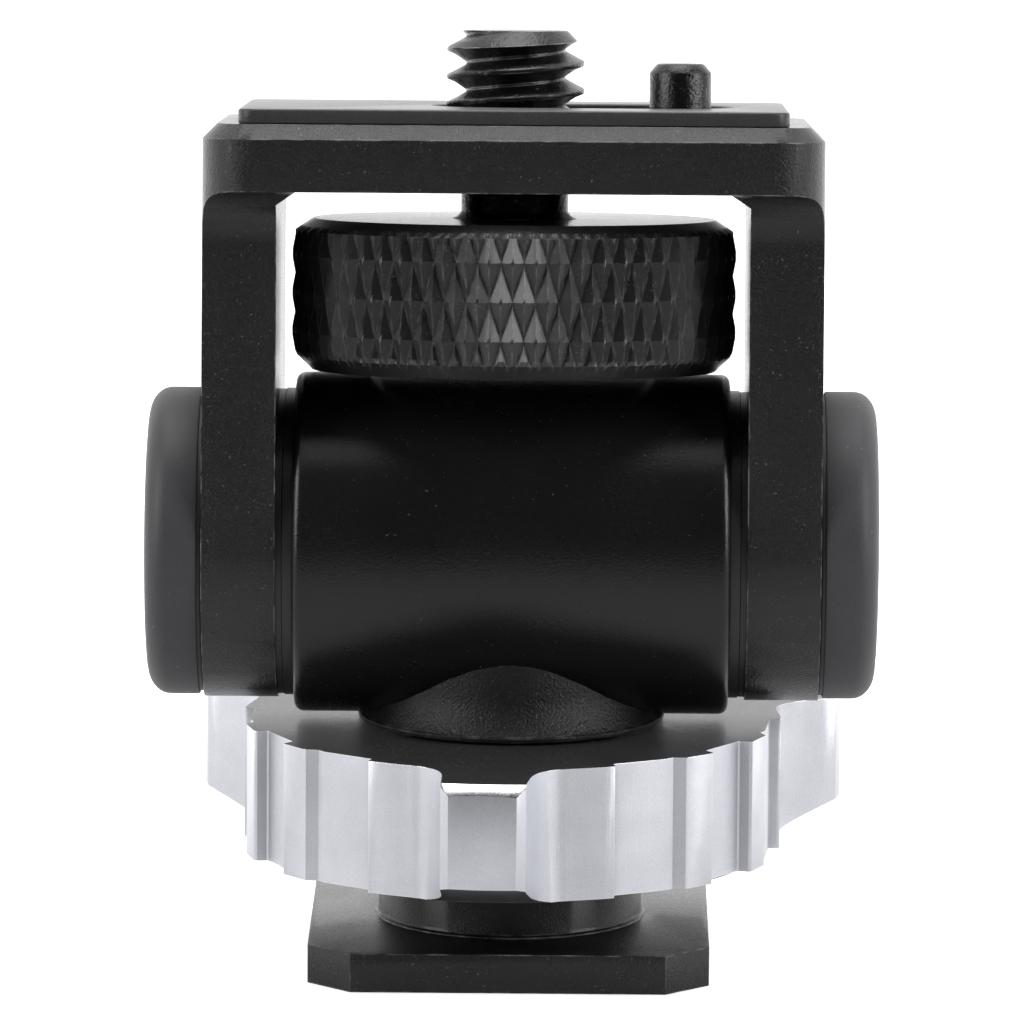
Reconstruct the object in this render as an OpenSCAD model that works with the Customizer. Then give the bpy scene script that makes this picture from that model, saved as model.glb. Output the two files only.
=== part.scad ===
// Cold-shoe swivel and tilt monitor mount.
// A U-shaped yoke with a captive 1/4"-20 screw and a sprung anti-twist pin tilts
// on a horizontal barrel; the barrel swivels on a cold-shoe foot, and a
// three-lobed threaded wheel clamps the foot into a shoe.
// Frame: origin at the centre of the foot's underside, +Z up along the swivel
// axis, +X along the tilt axis, +Y to the back. Left is -X. Millimetres.

/* [Shoe foot] */
// Width of the foot plate across the shoe
foot_w = 18.4; // [18:0.1:18.6]
// Length of the foot plate along the shoe
foot_l = 19.2; // [18:0.1:20]
// Thickness of the foot plate
foot_t = 1.8; // [1.6:0.05:2]
// Corner chamfer of the foot plate
foot_corner = 2.0; // [1:0.1:3]
// Diameter of the round boss above the foot plate
boss_d = 12.2; // [12:0.05:12.5]
// Diameter of the threaded post that the clamping wheel runs on
post_d = 10.0; // [9.6:0.1:10.4]

/* [Clamping wheel] */
// Height of the wheel's underside when fully raised
wheel_z0 = 4.9; // [4.8:0.05:5.2]
// Height of the wheel's top when fully raised
wheel_z1 = 11.0; // [10.6:0.1:11]
// Distance from the axis to the flat tip of each lobe
lobe_tip = 16.4; // [15:0.1:17]
// Width of the flat tip of each lobe
lobe_flat = 3.1; // [2.8:0.1:4]
// Radius of the lands between the lobes
land_r = 12.5; // [12.2:0.05:12.8]
// Radius at the floor of the shallow grooves
groove_r = 12.0; // [11.95:0.05:12.1]
// Direction of the first lobe, degrees from +X
lobe_angle = -94; // [-120:1:-60]

/* [Swivel barrel] */
// Height of the tilt axis above the foot's underside
tilt_z = 19.2; // [19.1:0.05:19.5]
// Diameter of the tilt barrel
barrel_d = 15.7; // [15.2:0.1:15.8]
// Length of the tilt barrel
barrel_l = 20.0; // [19.8:0.05:20]
// Diameter of the bore through the barrel
barrel_bore = 11.0; // [10.8:0.1:11.2]
// Diameter of the neck below the barrel
neck_d = 12.6; // [12:0.1:13]
// Diameter of the neck's base ring
neck_base_d = 14.2; // [13.6:0.1:14.6]

/* [Yoke] */
// Lean of the yoke at rest, backwards from upright, degrees
rest_lean = 6; // [0:1:15]
// Overall width of the yoke
yoke_w = 28.3; // [28.2:0.1:29]
// Distance between the yoke's arms
yoke_gap = 21.54; // [21.5:0.02:21.6]
// Depth of the top plate, front to back
plate_d = 19.4; // [18:0.1:20]
// Height of the top plate's underside above the tilt axis
plate_z0 = 16.45; // [16.4:0.05:16.6]
// Height of the top plate's top face above the tilt axis
plate_z1 = 19.5; // [19.45:0.05:19.7]
// Chamfer around the top plate's upper edge
plate_chamfer = 0.67; // [0.3:0.05:0.9]
// Corner radius of the top plate in plan
plate_r = 2.5; // [2:0.1:3]
// Depth of each arm, front to back, and diameter of its round end
arm_d = 14.4; // [14.2:0.1:14.8]

/* [Top pad] */
// Width of the rubber pad
pad_w = 25.0; // [23:0.1:25.4]
// Depth of the rubber pad
pad_d = 17.9; // [16:0.1:18]
// Thickness of the rubber pad
pad_t = 0.7; // [0.5:0.05:0.9]
// Width of the slot in the pad
slot_w = 7.7; // [7:0.1:8.2]
// End of the slot on the screw's side, from the screw's axis
slot_x0 = -3.86; // [-4.2:0.02:-3.8]
// End of the slot on the pin's side, from the screw's axis
slot_x1 = 10.06; // [10:0.02:10.4]

/* [Camera screw] */
// Major diameter of the camera screw, 1/4 inch
screw_d = 6.35; // [6.2:0.05:6.35]
// Height of the screw's tip above the tilt axis
screw_z1 = 23.67; // [22.5:0.01:24.5]
// Diameter of the plain shank below the thread
shank_d = 4.95; // [4.7:0.05:5]
// Diameter of the knurled thumbwheel
thumb_d = 20.48; // [19:0.02:20.6]
// Height of the thumbwheel's underside above the tilt axis
thumb_z0 = 8.0; // [7.95:0.05:8.1]
// Height of the thumbwheel's top above the tilt axis
thumb_z1 = 15.0; // [14:0.1:15]

/* [Locating pin] */
// Distance of the locating pin from the screw's axis
pin_x = 7.6; // [7.2:0.1:7.6]
// Diameter of the locating pin
pin_d = 2.86; // [2.6:0.02:3]
// Height of the pin's tip above the tilt axis
pin_z1 = 22.2; // [21.6:0.1:22.3]

/* [End caps] */
// Diameter of the end caps
cap_d = 14.2; // [13.6:0.1:14.4]
// Distance between the outer faces of the two caps
cap_span = 33.8; // [32.6:0.1:34.2]
// Rounding chamfer on the caps' outer edge
cap_edge = 1.0; // [0.6:0.1:1.2]

/* [Hidden] */
$fn = 96;
eps = 0.01;
reach = 20;                      // carries a cutter clear of the part

// Swivel parts
boss_r = boss_d / 2;
post_r = post_d / 2;
spigot_r = 3.25;                 // foot's spigot, above the post
spigot_z1 = 13.5;
bolt_r = 2.0;
bolt_hole_r = 2.15;
socket_r = 1.45;                 // hexagon sockets, to their corners
boss_bore_r = 6.45;              // opening around the boss in wheel and pad
pad_z0 = wheel_z0 - 0.1;
neck_z0 = wheel_z1 + 0.1;        // underside of the neck

// Tilt parts, measured from the tilt axis
barrel_r = barrel_d / 2;
barrel_end = barrel_l / 2;
bore_fit_r = barrel_bore / 2 - 0.01;
arm_r = arm_d / 2;
arm_x0 = yoke_gap / 2;
arm_x1 = yoke_w / 2;
seat_x = arm_x0 + 1.48;          // floor of the screw-head counterbore in an arm
counterbore_r = 5.2;
washer_bore_r = 2.56;
fillet_r = plate_d / 2 - arm_r;
cap_r = cap_d / 2;
cap_x1 = cap_span / 2;

// Camera screw and pin, measured from the tilt axis
pad_z1 = plate_z1 + pad_t;
ring_z0 = plate_z0 + 1.17;       // underside of the shank ring
thumb_r = thumb_d / 2;
screw_r = screw_d / 2;
shank_r = shank_d / 2;
pin_r = pin_d / 2;
pin_ceiling = plate_z1 - 0.35;   // top of the pin's spring pocket
collar_z0 = pin_ceiling - 0.32;  // underside of the pin's collar
cover_t = 0.3;
cover_x0 = 4.57;
cover_x1 = 10.63;
cover_w = 5.56;

black = [0.045, 0.045, 0.05];
dark = [0.13, 0.13, 0.14];
silver = [0.72, 0.74, 0.78];
steel = [0.55, 0.55, 0.56];
rubbery = [0.10, 0.10, 0.105];
off_white = [0.85, 0.84, 0.8];

function polar(radius, angle) = radius * [cos(angle), sin(angle)];
// Moves a child built about the tilt axis up to that axis
module at_tilt() translate([0, 0, tilt_z]) children();
// The same, on the leaning yoke
module in_yoke() at_tilt() rotate([-rest_lean, 0, 0]) children();
// The same child on the right side, or mirrored to the left
module side(left) mirror([left ? 1 : 0, 0, 0]) children();
// Cylinders between two places along X or Z
module xcyl(r, x0, x1) translate([x0, 0, 0]) rotate([0, 90, 0]) cylinder(r = r, h = x1 - x0);
module zcyl(r, z0, z1) translate([0, 0, z0]) cylinder(r = r, h = z1 - z0);
// Flat rings between two places along X or Z
module xring(r, bore_r, x0, x1) difference() {
  xcyl(r, x0, x1);
  xcyl(bore_r, x0 - 1, x1 + 1);
}
module zring(r, bore_r, z0, z1) difference() {
  zcyl(r, z0, z1);
  zcyl(bore_r, z0 - 1, z1 + 1);
}
// Turned shapes; points are [radius, z] or [radius, x]
module zturn(points) rotate_extrude() polygon(points);
module xturn(points) rotate([0, 90, 0]) zturn(points);
// Oblong outline with round ends at x0 and x1
module oblong(x0, x1, w) {
  translate([x0 + w / 2, 0]) circle(d = w);
  translate([x1 - w / 2, 0]) circle(d = w);
  translate([x0 + w / 2, -w / 2]) square([x1 - x0 - w, w]);
}
// Rectangle with round corners
module round_rect(w, d, r) {
  for (sx = [-1, 1], sy = [-1, 1])
    translate([sx * (w / 2 - r), sy * (d / 2 - r)]) circle(r = r);
  square([w - 2 * r, d], center = true);
  square([w, d - 2 * r], center = true);
}
// Rectangle with cut corners
module cut_rect(w, d, cut) {
  x = w / 2;
  y = d / 2;
  polygon([[-x + cut, -y], [x - cut, -y], [x, -y + cut], [x, y - cut],
    [x - cut, y], [-x + cut, y], [-x, y - cut], [-x, -y + cut]]);
}

// Chamfered plate, boss, post and spigot with a countersunk bolt hole
module shoe_foot() color(black) difference() {
  union() {
    intersection() {
      linear_extrude(foot_t) cut_rect(foot_w, foot_l, foot_corner);
      zturn([[0, 0], [14, 0], [14, foot_t - 0.6], [11.9, foot_t], [0, foot_t]]);
    }
    zturn([[0, foot_t - eps], [boss_r + 0.3, foot_t - eps], [boss_r + 0.3, foot_t],
      [boss_r, foot_t + 0.3], [boss_r, 4.5], [boss_r - 0.2, 4.7], [post_r, 4.7],
      [post_r, 10.85], [post_r - 0.15, wheel_z1], [spigot_r, wheel_z1],
      [spigot_r, spigot_z1 - 0.2], [spigot_r - 0.2, spigot_z1], [0, spigot_z1]]);
  }
  zcyl(bolt_hole_r, -1, 15);
  zturn([[0, -eps], [4.16, -eps], [4.16, 0.1], [bolt_hole_r, 2.11], [0, 2.11]]);
}

// Countersunk bolt, head down, with a hexagon socket
module swivel_bolt() color(steel) difference() {
  zturn([[0, 0.1], [4.0, 0.1], [4.0, 0.22], [bolt_r, 2.22], [bolt_r, 20.0],
    [bolt_r - 0.2, 20.2], [0, 20.2]]);
  zcyl(socket_r, 0, 1.7, $fn = 6);
}

module swivel_nut() color(steel) {
  across_flats = 7;
  difference() {
    rotate(30) zcyl(across_flats / 2 / cos(30), 16.65, 19.85, $fn = 6);
    zcyl(bolt_r + 0.03, 16, 21);
  }
}

// Two cupped spring washers, stacked back to back
module swivel_disc_springs() color(steel) {
  thickness = 0.21;
  bore_r = 2.1;
  rim_r = 3.98;
  // height of the underside: [at the bore, at the rim]
  for (under = [[15.88, 15.62], [16.12, 16.38]])
    zturn([[bore_r, under[0]], [rim_r, under[1]],
      [rim_r, under[1] + thickness], [bore_r, under[0] + thickness]]);
}

module swivel_friction_washer() color(off_white)
  zring(4.8, 3.35, wheel_z1 + 0.02, wheel_z1 + 0.42);

module clamp_pad() color(rubbery) zring(11.55, boss_bore_r, pad_z0, pad_z0 + 0.4);

// Flank of a lobe: [beyond the end of the flat tip, inward from the tip]
lobe_flank = [[0, 0], [0.37, 0.38], [0.40, 1.3], [0.45, 2], [0.53, 2.7], [0.70, 3.25],
  [0.95, 3.68]];
// Lands and grooves between lobes: [degrees from the lobe's centre, radius]
lands = [[13, land_r + 0.22], [15.2, land_r + 0.09], [18.2, land_r + 0.02],
  [22.4, land_r + 0.02], [26.6, land_r + 0.02], [27, land_r - 0.2],
  [27.3, groove_r], [40, groove_r + 0.1], [42.5, groove_r],
  [45, land_r - 0.08], [52.5, land_r - 0.08],
  [53, groove_r + 0.1], [53.3, groove_r - 0.2], [60, groove_r - 0.28]];
// A flank point, offset across and inward, as [degrees, radius]
function lobe_point(across, inward) =
  [atan(across / (lobe_tip - inward)), norm([across, lobe_tip - inward])];
// From a lobe's centre to the middle of the gap, then mirrored to the next lobe
half_sector = concat([for (p = lobe_flank) lobe_point(lobe_flat / 2 + p[0], p[1])], lands);
sector = concat(half_sector, [for (i = [len(half_sector) - 2:-1:0])
  [120 - half_sector[i][0], half_sector[i][1]]]);
wheel_outline = [for (k = [0:2], p = sector) polar(p[1], lobe_angle + 120 * k + p[0])];

module lock_wheel() color(silver) {
  cut_z0 = 4;      // start of the cuts, below the wheel
  difference() {
    intersection() {
      translate([0, 0, wheel_z0]) linear_extrude(wheel_z1 - wheel_z0) polygon(wheel_outline);
      zturn([[0, wheel_z0], [12.7, wheel_z0], [lobe_tip + 0.3, wheel_z0 + 1.35],
        [lobe_tip + 0.3, wheel_z1 - 0.5], [lobe_tip - 0.2, wheel_z1], [0, wheel_z1]]);
    }
    // post bore, opening around the boss and pad recess
    zcyl(post_r + 0.05, 0, reach);
    zcyl(boss_bore_r, cut_z0, 8);
    zcyl(11.6, cut_z0, wheel_z0 + 0.32);
  }
}

// Horizontal barrel on a flared neck
module swivel_barrel() color(black) {
  edge = 0.3;
  base_r = neck_base_d / 2;
  neck_r = neck_d / 2;
  cut_z0 = 5;
  difference() {
    union() {
      at_tilt() xturn([[0, -barrel_end], [barrel_r - edge, -barrel_end],
        [barrel_r, -barrel_end + edge], [barrel_r, barrel_end - edge],
        [barrel_r - edge, barrel_end], [0, barrel_end]]);
      zturn([[0, neck_z0], [base_r - 0.15, neck_z0], [base_r, neck_z0 + 0.15],
        [base_r, neck_z0 + 0.35], [neck_r, neck_z0 + 1.15], [neck_r, tilt_z], [0, tilt_z]]);
    }
    at_tilt() xcyl(barrel_bore / 2, -reach, reach);
    // spigot bore and friction-washer recess
    zcyl(spigot_r + 0.05, cut_z0, tilt_z);
    zcyl(4.9, cut_z0, wheel_z1 + 0.45);
  }
}

// Flat-topped washer, rounded below to sit in the barrel's bore
module saddle_washer() color(steel) {
  length = 8.4;
  width = 7.8;
  z0 = 10;
  top_drop = 3.6;  // top face below the tilt axis
  difference() {
    intersection() {
      at_tilt() xcyl(bore_fit_r, -length / 2, length / 2);
      translate([-length / 2, -width / 2, z0]) cube([length, width, tilt_z - top_drop - z0]);
    }
    zcyl(bolt_hole_r, 5, 25);
  }
}

module end_plug(left) color(steel) side(left) at_tilt() difference() {
  xcyl(bore_fit_r, barrel_end - 3.05, barrel_end - 0.03);
  xcyl(1.53, 0, reach);
}

// Shoulder screw: socket head, 5 mm shoulder, M3 end
module tilt_screw(left) color(steel) {
  thread_r = 1.5;
  shoulder_r = 2.5;
  head_r = 4.2;
  head_x0 = seat_x + 0.66;
  head_x1 = arm_x1 - 0.05;
  side(left) at_tilt() difference() {
    xturn([[0, barrel_end - 3.0], [thread_r, barrel_end - 3.0], [thread_r, barrel_end],
      [shoulder_r, barrel_end], [shoulder_r, head_x0], [head_r, head_x0],
      [head_r, head_x1 - 0.2], [head_r - 0.2, head_x1], [0, head_x1]]);
    xcyl(socket_r, arm_x1 - 1.1, arm_x1 + 1.9, $fn = 6);
  }
}

module tilt_disc_spring(left) color(steel) side(left) at_tilt()
  xturn([[washer_bore_r, seat_x + 0.34], [4.1, seat_x + 0.03],
    [4.1, seat_x + 0.3], [washer_bore_r, seat_x + 0.62]]);

module friction_washer(left) color(dark) side(left) at_tilt()
  xring(7.1, washer_bore_r, barrel_end + 0.02, barrel_end + 0.45);

module thrust_washer(left) color(dark) side(left) in_yoke()
  xring(7.05, washer_bore_r, barrel_end + 0.48, arm_x0 - 0.01);

// Top plate with its upper edge chamfered all round
module yoke_plate() {
  height = plate_z1 - plate_z0;
  inset = 2 * plate_chamfer;
  hull() {
    translate([0, 0, plate_z0]) linear_extrude(height - plate_chamfer)
      round_rect(yoke_w, plate_d, plate_r, $fn = 32);
    translate([0, 0, plate_z0]) linear_extrude(height)
      round_rect(yoke_w - inset, plate_d - inset, plate_r - plate_chamfer, $fn = 32);
  }
}

// Point [y, z] of the fillet at the back (+1) or front (-1)
function fillet_point(sign, a) =
  [sign * (plate_d / 2 + fillet_r * cos(a)), plate_z0 - fillet_r * (1 - sin(a))];

// Arms, not yet parted, with a concave fillet under the plate's overhang
module yoke_arms() intersection() {
  union() {
    xcyl(arm_r, -arm_x1, arm_x1);
    rotate([90, 0, 90]) translate([0, 0, -arm_x1]) linear_extrude(2 * arm_x1) polygon(concat(
      [[-arm_r, 0], [arm_r, 0]],
      [for (a = [180:-7.5:90]) fillet_point(1, a)],
      [[plate_d / 2, plate_z0 + 0.4], [-plate_d / 2, plate_z0 + 0.4]],
      [for (a = [90:7.5:180]) fillet_point(-1, a)]));
  }
  translate([0, 0, -reach]) linear_extrude(2 * reach) round_rect(yoke_w, plate_d, plate_r);
}

// Opening between the arms, its upper corners cut at an angle
module yoke_opening() {
  cut_x = arm_x0 - 0.92;
  cut_z = plate_z0 - 0.65;
  rotate([90, 0, 0]) translate([0, 0, -reach]) linear_extrude(2 * reach)
    polygon([[-arm_x0, -reach], [arm_x0, -reach], [arm_x0, cut_z],
      [cut_x, plate_z0], [-cut_x, plate_z0], [-arm_x0, cut_z]]);
}

module yoke() color(black) {
  cut_z0 = plate_z0 - 1;
  in_yoke() difference() {
    union() {
      yoke_plate();
      yoke_arms();
    }
    yoke_opening();
    // pivot bores and screw-head counterbores
    xcyl(2.55, -reach, reach);
    xcyl(counterbore_r, seat_x, reach);
    xcyl(counterbore_r, -reach, -seat_x);
    // captive screw: shank hole and retaining-ring recess
    zcyl(2.55, cut_z0, cut_z0 + 10);
    zcyl(3.7, ring_z0 - 0.02, ring_z0 + 9.98);
    // locating pin: guide hole, spring pocket and cover recess
    translate([pin_x, 0, 0]) zcyl(pin_r + 0.04, cut_z0, cut_z0 + 10);
    translate([pin_x, 0, 0]) zcyl(2.3, cut_z0, pin_ceiling);
    translate([0, 0, cut_z0]) linear_extrude(1 + cover_t + 0.01)
      oblong(cover_x0 - 0.02, cover_x1 + 0.02, cover_w + 0.04);
  }
}

module top_pad() color(rubbery) in_yoke() translate([0, 0, plate_z1]) difference() {
  linear_extrude(pad_t) cut_rect(pad_w, pad_d, 0.8);
  translate([0, 0, -1]) linear_extrude(3) oblong(slot_x0, slot_x1, slot_w);
}

module pin_cover_plate() color(steel) in_yoke() translate([0, 0, plate_z0])
  linear_extrude(cover_t) oblong(cover_x0, cover_x1, cover_w);

// Rounded cap with a ring-shaped lip inside the counterbore
module end_cap(left) color(dark) {
  rim_x = arm_x1 + 0.2;
  lip_x = arm_x1 - 1.1;
  lip_r = counterbore_r - 0.03;
  side(left) in_yoke() xturn([[0, rim_x], [4.4, rim_x], [4.4, lip_x], [lip_r, lip_x],
    [lip_r, rim_x], [cap_r - 0.1, rim_x], [cap_r, rim_x + 0.1], [cap_r, cap_x1 - cap_edge],
    [cap_r - cap_edge * 0.12, cap_x1 - cap_edge * 0.55],
    [cap_r - cap_edge * 0.5, cap_x1 - cap_edge * 0.15], [cap_r - cap_edge, cap_x1], [0, cap_x1]]);
}

module shank_ring() color(steel) in_yoke() zring(3.55, 2.3, ring_z0, ring_z0 + 0.5);

// Chamfered wheel with a blind hole for the screw
module thumb_wheel() color(black) in_yoke() difference() {
  zturn([[0, thumb_z0], [thumb_r - 0.92, thumb_z0], [thumb_r, thumb_z0 + 0.9],
    [thumb_r, thumb_z1 - 0.65], [thumb_r - 0.92, thumb_z1], [0, thumb_z1]]);
  zcyl(2.02, thumb_z0 + 1.5, thumb_z0 + 21.5);
}

// Screw with a thin stem in the thumbwheel and a groove for the shank ring
module mount_screw() color(dark) {
  stem_r = 2.0;
  groove_floor_r = 2.25;
  root_r = screw_r - 0.35;
  in_yoke() zturn([[0, thumb_z0 + 1.6], [stem_r, thumb_z0 + 1.6], [stem_r, thumb_z1 + 0.01],
    [shank_r, thumb_z1 + 0.01], [shank_r, ring_z0 - 0.04], [groove_floor_r, ring_z0 - 0.04],
    [groove_floor_r, ring_z0 + 0.54], [shank_r, ring_z0 + 0.54], [shank_r, 19.0],
    [root_r, 19.25], [root_r, pad_z1 + 0.05], [screw_r, pad_z1 + 0.13],
    [screw_r, screw_z1 - 0.5], [screw_r - 0.5, screw_z1], [0, screw_z1]]);
}

// Pin with a collar at its foot
module locating_pin() color(dark) {
  collar_r = 2.1;
  collar_z1 = pin_ceiling - 0.02;
  stem_r = pin_r - 0.22;
  in_yoke() translate([pin_x, 0, 0]) zturn([[0, collar_z0], [collar_r, collar_z0],
    [collar_r, collar_z1], [stem_r, collar_z1], [stem_r, plate_z1 + 0.05],
    [pin_r, plate_z1 + 0.1], [pin_r, pin_z1 - 0.45], [pin_r - 0.38, pin_z1], [0, pin_z1]]);
}

// Conical spring of flat wire under the pin's collar
module pin_spring() color(steel) {
  z0 = plate_z0 + cover_t + 0.03;
  in_yoke() translate([pin_x, 0, z0])
    linear_extrude(height = collar_z0 - 0.04 - z0, twist = -900, scale = 0.78,
      slices = 60, $fn = 6)
      polygon([for (a = [0:20:60]) polar(2.05, a), for (a = [60:-20:0]) polar(1.6, a)]);
}

shoe_foot();
swivel_bolt();
swivel_nut();
swivel_disc_springs();
swivel_friction_washer();
clamp_pad();
lock_wheel();
swivel_barrel();
saddle_washer();
end_plug(true);  // end_plug_left
end_plug(false);  // end_plug_right
tilt_screw(true);  // tilt_screw_left
tilt_screw(false);  // tilt_screw_right
tilt_disc_spring(true);  // tilt_disc_spring_left
tilt_disc_spring(false);  // tilt_disc_spring_right
friction_washer(true);  // friction_washer_left
friction_washer(false);  // friction_washer_right
yoke();
top_pad();
pin_cover_plate();
thrust_washer(true);  // thrust_washer_left
thrust_washer(false);  // thrust_washer_right
end_cap(true);  // end_cap_left
end_cap(false);  // end_cap_right
shank_ring();
thumb_wheel();
mount_screw();
locating_pin();
pin_spring();
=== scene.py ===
"""Tilting camera mount: shoe foot, lobed clamping wheel, swivel barrel and leaning yoke.

Pieces are drawn in millimetres and finished in metres. Z is up and the foot stands on z = 0.
The camera looks along +Y, so -Y is the front. The tilt axis runs along X at z = TILT_Z; the
yoke pieces are drawn about it and then leaned back, towards +Y.
"""
import math
import bmesh
import bpy
from mathutils import Matrix, Vector


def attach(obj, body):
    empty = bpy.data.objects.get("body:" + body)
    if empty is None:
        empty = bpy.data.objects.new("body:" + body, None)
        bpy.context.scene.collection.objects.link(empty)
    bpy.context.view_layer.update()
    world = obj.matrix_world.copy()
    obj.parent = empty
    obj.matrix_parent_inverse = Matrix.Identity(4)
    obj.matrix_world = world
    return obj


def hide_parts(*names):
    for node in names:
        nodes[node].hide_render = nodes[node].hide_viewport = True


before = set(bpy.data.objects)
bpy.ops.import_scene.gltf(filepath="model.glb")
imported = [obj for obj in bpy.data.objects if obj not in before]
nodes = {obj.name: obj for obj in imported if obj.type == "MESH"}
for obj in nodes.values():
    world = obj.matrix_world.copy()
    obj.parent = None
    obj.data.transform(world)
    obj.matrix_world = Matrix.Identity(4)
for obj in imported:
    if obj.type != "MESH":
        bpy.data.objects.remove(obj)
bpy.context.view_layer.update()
scene = bpy.context.scene

TILT_Z = 19.2                    # height of the tilt axis
LEAN = math.radians(6.0)         # backward lean of the yoke
PLATE_TOP = 19.5                 # top of the yoke plate above the tilt axis
PIN_X = 7.6                      # locating pin, from the camera screw's axis
ARM_BOTTOM_R = 7.2               # round lower end of the yoke arms
BARREL_R = 7.85
NECK_TOP = 17.0
WHEEL_Z0, WHEEL_Z1 = 4.9, 11.0   # underside and top of the clamping wheel

MM = Matrix.Scale(0.001, 4)
IDENTITY = Matrix.Identity(4)
YOKE = Matrix.Translation((0, 0, TILT_Z)) @ Matrix.Rotation(-LEAN, 4, "X")
AT_PIN = Matrix.Translation((PIN_X, 0, 0))
TO_RIGHT = Matrix.Rotation(math.radians(90), 4, "Y")        # lathe axis Z -> +X
TO_LEFT = Matrix.Scale(-1, 4, (1, 0, 0)) @ TO_RIGHT
TILT_AXIS = Matrix.Translation((0, 0, TILT_Z)) @ TO_RIGHT


# ---------------------------------------------------------------- shader building
class Shader:
    """A node tree with short ways to add and wire nodes.

    Values may be plain, or output sockets to link. Ramp stops are (position, grey).
    """

    def __init__(self, tree):
        self.tree = tree

    def feed(self, node, inputs):
        for key, value in inputs.items():
            socket = node.inputs[key]
            if isinstance(value, bpy.types.NodeSocket):
                self.tree.links.new(value, socket)
            else:
                socket.default_value = (*value, 1) if socket.type == "RGBA" else value

    def add(self, kind, inputs=None, **settings):
        node = self.tree.nodes.new("ShaderNode" + kind)
        for name, value in settings.items():
            setattr(node, name, value)
        self.feed(node, inputs or {})
        return node

    def place(self, scale=(1, 1, 1)):
        source = self.add("TexCoord").outputs["Object"]
        return self.add("Mapping", {"Scale": scale, "Vector": source}).outputs["Vector"]

    def ramp(self, source, *stops):
        node = self.add("ValToRGB", {"Fac": source})
        elements = node.color_ramp.elements
        while len(elements) < len(stops):
            elements.new(0.5)
        for i, (position, grey) in enumerate(stops):
            elements[i].position = position
            elements[i].color = (grey, grey, grey, 1)
        return node.outputs["Color"]

    def noise(self, place, scale, detail, rough):
        inputs = {"Scale": scale, "Detail": detail, "Roughness": rough, "Vector": place}
        return self.add("TexNoise", inputs).outputs["Fac"]

    def calc(self, operation, *values):
        return self.add("Math", dict(enumerate(values)), operation=operation).outputs[0]

    def times(self, first, second):
        return self.calc("MULTIPLY", first, second)

    def plus(self, first, second):
        return self.calc("ADD", first, second)

    def swing(self, source, spread, middle=0.0):
        """Maps a 0..1 source to a range of width spread about middle."""
        return self.calc("MULTIPLY_ADD", source, spread, middle - spread / 2)

    def mix(self, factor, first, second, blend="MIX"):
        # 0, 6, 7 and output 2 are the factor and colour sockets of the Mix node
        inputs = {0: factor, 6: first, 7: second}
        return self.add("Mix", inputs, data_type="RGBA", blend_type=blend).outputs[2]

    def tint(self, base, coarse_tone, fine_tone):
        return self.mix(1.0, base, self.times(coarse_tone, fine_tone), blend="MULTIPLY")

    def bump(self, height, strength, distance):
        inputs = {"Strength": strength, "Distance": distance, "Height": height}
        return self.add("Bump", inputs).outputs["Normal"]

    def edge_mask(self):
        """White on edges, where the bevelled normal departs from the true one."""
        bevel = self.add("Bevel", {"Radius": 0.0001}, samples=6)
        true_normal = self.add("NewGeometry").outputs["Normal"]
        dot = self.add("VectorMath", {0: bevel.outputs["Normal"], 1: true_normal},
                       operation="DOT_PRODUCT")
        turned = self.calc("SUBTRACT", 1.0, dot.outputs["Value"])
        return self.ramp(turned, (0.002, 0.0), (0.06, 1.0))


def new_material(name):
    material = bpy.data.materials.new(name)
    material.use_nodes = True
    tree = material.node_tree
    return material, Shader(tree), tree.nodes["Principled BSDF"]


# ---------------------------------------------------------------- materials
# painted glint colour, and a worn-edge grey that also paints an edge highlight
DULL_GLINT = (0.16, 0.16, 0.165)
WORN_EDGE_HIGHLIGHT = (0.32, 0.32, 0.33)
DUST_GREY = (0.35, 0.35, 0.36)


def anodised(name, base, rough, grain, glint_amount=0.0, bump=1.0, specular=0.5, edge_wear_and_highlight=0.25,
             glint_colour=(0.20, 0.20, 0.21), coat=0.0, coat_rough=0.2):
    """Bead-blasted anodised aluminium: fine pitting, scattered painted glints, worn edges
    that also carry a painted edge highlight.
    """
    material, shader, surface = new_material(name)
    place = shader.place()
    fine = shader.noise(place, scale=grain, detail=3.0, rough=0.65)
    medium = shader.noise(place, scale=grain / 7.0, detail=2.0, rough=0.5)
    broad = shader.noise(place, scale=180.0, detail=3.0, rough=0.55)
    dots = shader.noise(place, scale=grain * 0.85, detail=1.0, rough=0.4)
    patches = shader.noise(place, scale=900.0, detail=2.0, rough=0.5)

    # painted glints: sparse bright facets, kept mostly inside the patches
    glint_spots = shader.ramp(dots, (0.70 - glint_amount, 0.0), (0.75 - glint_amount, 1.0))
    painted_glint = shader.times(glint_spots, shader.ramp(patches, (0.40, 0.15), (0.62, 1.0)))
    cloud = shader.ramp(broad, (0.3, 0.86), (0.7, 1.12))
    pitting = shader.ramp(fine, (0.3, 0.75), (0.72, 1.3))
    colour = shader.tint(base, cloud, pitting)
    edge = shader.edge_mask()
    # worn edges, partly real wear and partly a painted edge highlight: a lighter metal grey
    # in broken patches along the edges
    broken = shader.times(shader.ramp(medium, (0.42, 0.0), (0.66, 1.0)), edge_wear_and_highlight)
    worn_and_highlit_edge = shader.times(edge, broken)
    # painted glints mixed into the colour
    colour = shader.mix(shader.times(painted_glint, 0.8), colour, glint_colour)
    colour = shader.mix(worn_and_highlit_edge, colour, WORN_EDGE_HIGHLIGHT)

    dull = shader.plus(shader.swing(fine, spread=0.16, middle=rough),
                       shader.swing(broad, spread=0.10))
    roughness = shader.calc("SUBTRACT", dull, shader.times(painted_glint, 0.12))
    height = shader.plus(shader.times(fine, 1.0), shader.times(medium, 0.35))
    shader.feed(surface, {
        "Base Color": colour, "Roughness": roughness, "Specular IOR Level": specular,
        "Coat Weight": coat, "Coat Roughness": coat_rough,
        "Normal": shader.bump(height, strength=bump, distance=0.00006)})
    return material


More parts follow.
